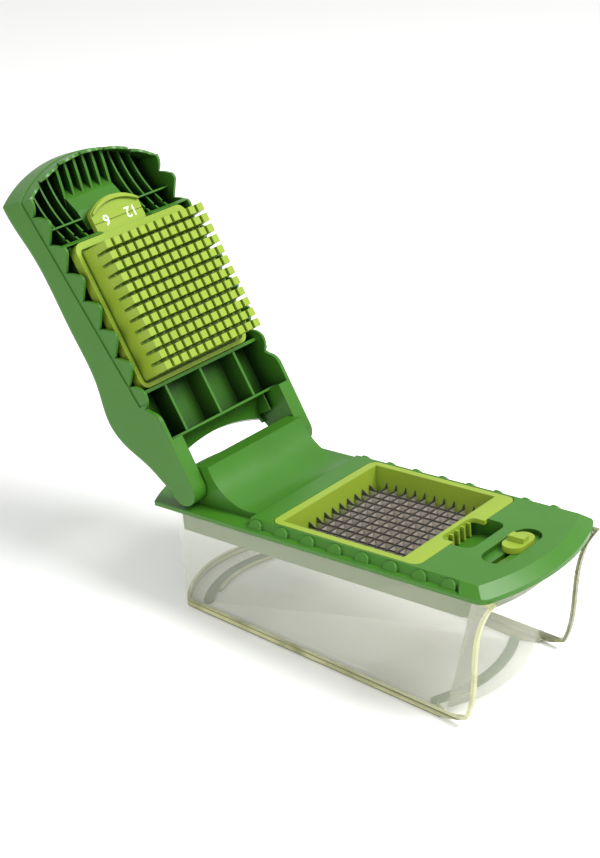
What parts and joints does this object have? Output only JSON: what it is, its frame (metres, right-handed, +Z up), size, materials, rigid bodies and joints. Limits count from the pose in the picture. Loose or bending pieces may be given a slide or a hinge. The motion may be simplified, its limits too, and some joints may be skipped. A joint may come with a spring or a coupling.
{
  "type": "vegetable dicer",
  "caption": "Hand-operated vegetable dicer: hinged lever with a pegged pusher over a square grid of blades, on a clear collecting bin. Lever stands open.",
  "frame": {"origin": "on the table under the middle of the bin's floor", "axes": "+X runs from the hinge to the front lip, +Y to the left, +Z up; the deck leans 4.7 degrees, higher at the front"},
  "size_m": [0.3128, 0.093, 0.2129],
  "materials": {
    "green_plastic": "satin",
    "lime_plastic": "satin",
    "clear_plastic": "clear",
    "soft_grip": "matte",
    "blade_steel": "brushed",
    "pin_steel": "polished"
  },
  "bodies": {
    "bin": {"container": "clear_plastic", "grip_strip_front": "soft_grip", "grip_strip_rear": "soft_grip"},
    "base": {"base_frame": "green_plastic", "hinge_pin_near": "pin_steel", "hinge_pin_far": "pin_steel"},
    "slider": {"slider_knob": "lime_plastic", "slider_keeper": "lime_plastic"},
    "blades": {"blade_insert": "lime_plastic", "blade_lengthwise_01": "blade_steel", "blade_lengthwise_02": "blade_steel", "blade_lengthwise_03": "blade_steel", "blade_lengthwise_04": "blade_steel", "blade_lengthwise_05": "blade_steel", "blade_lengthwise_06": "blade_steel", "blade_lengthwise_07": "blade_steel", "blade_lengthwise_08": "blade_steel", "blade_lengthwise_09": "blade_steel", "blade_lengthwise_10": "blade_steel", "blade_lengthwise_11": "blade_steel", "blade_crosswise_01": "blade_steel", "blade_crosswise_02": "blade_steel", "blade_crosswise_03": "blade_steel", "blade_crosswise_04": "blade_steel", "blade_crosswise_05": "blade_steel", "blade_crosswise_06": "blade_steel", "blade_crosswise_07": "blade_steel", "blade_crosswise_08": "blade_steel", "blade_crosswise_09": "blade_steel", "blade_crosswise_10": "blade_steel", "blade_crosswise_11": "blade_steel"},
    "lever": {"lever_shell": "green_plastic"},
    "pusher": {"pusher_insert": "lime_plastic"}
  },
  "joints": [
    {"name": "base_lift", "type": "slide", "parent": "bin", "child": "base", "axis": [0, 0, 1], "range_m": [0, 0.03]},
    {"name": "lever_hinge", "type": "hinge", "parent": "base", "child": "lever", "pos_m": [-0.07838, 0, 0.06889], "axis": [0, -1, 0], "range_deg": [-118.5, 0]},
    {"name": "blades_lift", "type": "slide", "parent": "base", "child": "blades", "axis": [-0.0819, 0, 0.9966], "range_m": [0, 0.03]},
    {"name": "pusher_pull", "type": "slide", "parent": "lever", "child": "pusher", "axis": [0.8368, 0, 0.5476], "range_m": [0, 0.025]},
    {"name": "slider_slide", "type": "slide", "parent": "base", "child": "slider", "axis": [0, 1, 0], "range_m": [-0.012, 0]}
  ]
}
